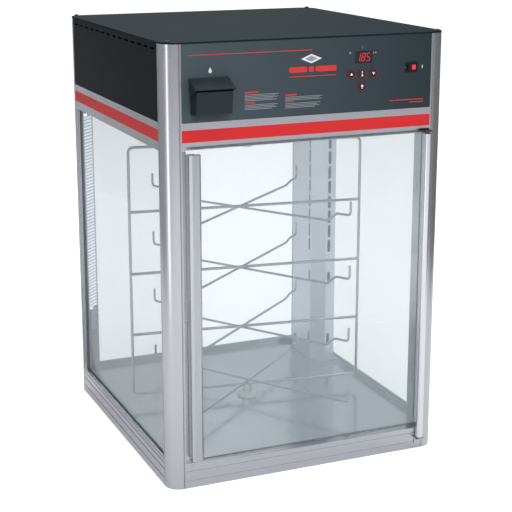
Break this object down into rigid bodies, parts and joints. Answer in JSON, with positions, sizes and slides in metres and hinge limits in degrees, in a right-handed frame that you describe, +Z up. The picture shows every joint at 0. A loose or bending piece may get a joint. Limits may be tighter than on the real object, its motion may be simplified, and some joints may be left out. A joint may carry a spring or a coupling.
{
  "type": "food holding cabinet",
  "caption": "Countertop glass food holding cabinet with a rotating wire rack, hinged glass door, heated air column, lamp and a control housing on top.",
  "frame": {"origin": "centre of the base underside, on the rack's axis", "axes": "+X right seen from the front, +Y to the back, +Z up"},
  "size_m": [0.57, 0.6626, 0.8451],
  "materials": {
    "aluminium": "satin anodised extrusion",
    "stainless": "brushed",
    "glass": "clear, faint green tint",
    "gasket": "matt",
    "slate_panel": "satin slate grey overlay",
    "black_panel": "satin black powder coat",
    "accent_red": "gloss",
    "black_plastic": "fine grain",
    "chrome_wire": "bright plated",
    "duct_metal": "satin",
    "screw_dark": "dark",
    "lamp_white": "translucent white",
    "tube_white": "white",
    "motor_grey": "satin",
    "heater_metal": "heat stained",
    "tank_plastic": "translucent grey",
    "board_green": "solder mask",
    "display_red": "smoked red window",
    "button_black": "fine grain",
    "rocker_red": "lit red",
    "bushing": "acetal",
    "hinge_silver": "polished",
    "fitting_dark": "black"
  },
  "bodies": {
    "cabinet": {"post_front_left": "aluminium", "post_front_right": "aluminium", "post_back_left": "aluminium", "post_back_right": "aluminium", "base_rail_front": "aluminium", "base_rail_back": "aluminium", "base_rail_left": "aluminium", "base_rail_right": "aluminium", "header_rail_front": "aluminium", "header_rail_back": "aluminium", "header_rail_left": "aluminium", "header_rail_right": "aluminium", "accent_strips": "accent_red", "floor_pan": "stainless", "bottom_cover": "stainless", "side_panes": "glass", "back_pane": "glass", "pane_gaskets": "gasket", "header_deck": "stainless", "control_panel": "slate_panel", "header_side_panels": "black_panel", "header_back_panel": "black_panel", "top_cover": "black_panel", "cover_screws": "screw_dark", "cord_gland": "black_plastic", "air_duct": "duct_metal", "temperature_probe": "screw_dark", "blower_housing": "stainless", "blower_motor": "motor_grey", "air_heater": "heater_metal", "lamp_reflector": "lamp_white", "lamp_tube": "tube_white", "lamp_lens": "lamp_white", "lamp_holders": "lamp_white", "fill_hopper": "black_plastic", "water_tank": "tank_plastic", "tank_heater": "heater_metal", "control_board": "board_green", "display_module": "display_red", "power_supply": "motor_grey", "rocker_bezel": "black_plastic", "rack_gearmotor": "motor_grey", "floor_bushing": "bushing", "door_fittings": "fitting_dark"},
    "door": {"door_glass": "glass", "door_handle": "aluminium", "door_hinge_tube": "hinge_silver"},
    "rack": {"rack_frame": "chrome_wire", "rack_tier_1": "chrome_wire", "rack_tier_2": "chrome_wire", "rack_tier_3": "chrome_wire", "rack_tier_4": "chrome_wire"},
    "drive": {"drive_coupling": "hinge_silver"},
    "blower": {"blower_wheel": "motor_grey"},
    "lid": {"hopper_lid": "black_plastic"},
    "rocker": {"rocker_switch": "rocker_red"},
    "key_up": {"button_up": "button_black"},
    "key_probe": {"button_probe": "button_black"},
    "key_down": {"button_down": "button_black"},
    "key_light": {"button_light": "button_black"}
  },
  "joints": [
    {"name": "door_hinge", "type": "hinge", "parent": "cabinet", "child": "door", "pos_m": [0.2464, -0.3126, 0.33], "axis": [0, 0, 1], "range_deg": [0, 120]},
    {"name": "rack_spin", "type": "hinge", "parent": "cabinet", "child": "rack", "pos_m": [0, 0, 0.069], "axis": [0, 0, 1], "continuous": true},
    {"name": "drive_spin", "type": "hinge", "parent": "cabinet", "child": "drive", "pos_m": [0, 0, 0.64], "axis": [0, 0, 1], "continuous": true},
    {"name": "blower_spin", "type": "hinge", "parent": "cabinet", "child": "blower", "pos_m": [0.15, 0.165, 0.69], "axis": [0, 0, 1], "continuous": true},
    {"name": "lid_hinge", "type": "hinge", "parent": "cabinet", "child": "lid", "pos_m": [-0.201, -0.308, 0.776], "axis": [-1, 0, 0], "range_deg": [0, 70]},
    {"name": "rocker_tilt", "type": "hinge", "parent": "cabinet", "child": "rocker", "pos_m": [0.2095, -0.3025, 0.7765], "axis": [0, 0, 1], "range_deg": [-14, 0]},
    {"name": "press_up", "type": "slide", "parent": "cabinet", "child": "key_up", "axis": [0, 1, 0], "range_m": [0, 0.0008], "stiffness_N_per_m": 300, "springref_m": -0.001},
    {"name": "press_probe", "type": "slide", "parent": "cabinet", "child": "key_probe", "axis": [0, 1, 0], "range_m": [0, 0.0008], "stiffness_N_per_m": 300, "springref_m": -0.001},
    {"name": "press_down", "type": "slide", "parent": "cabinet", "child": "key_down", "axis": [0, 1, 0], "range_m": [0, 0.0008], "stiffness_N_per_m": 300, "springref_m": -0.001},
    {"name": "press_light", "type": "slide", "parent": "cabinet", "child": "key_light", "axis": [0, 1, 0], "range_m": [0, 0.0008], "stiffness_N_per_m": 300, "springref_m": -0.001}
  ],
  "couplings": [
    {"joint": "drive_spin", "follows": "rack_spin", "ratio": 1}
  ]
}
